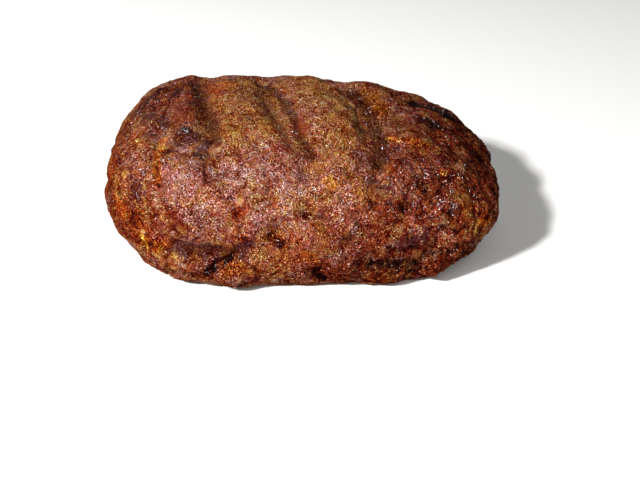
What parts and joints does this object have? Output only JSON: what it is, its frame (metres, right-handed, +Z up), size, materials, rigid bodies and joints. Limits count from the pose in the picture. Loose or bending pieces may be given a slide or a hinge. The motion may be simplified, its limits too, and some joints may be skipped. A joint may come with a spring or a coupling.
{
  "type": "liver roll",
  "caption": "Whole uncut roast loaf of minced meat with a rugged brown crust, broad furrows slanting across its domed top, a slumped foot roll and a flat base.",
  "frame": {"origin": "centre of the bounding box in plan, on the flat base the loaf stands on", "axes": "+X along the loaf to its lower, tapered end, +Z up; -Y is the broad front seen in the picture"},
  "size_m": [0.213, 0.137, 0.085],
  "materials": {
    "crust": "browned crust of roast minced meat: rough and crumbly, with a greasy half gloss in patches, darkest where it burnt"
  },
  "bodies": {
    "root": {"liver_roll": "crust"}
  },
  "joints": []
}
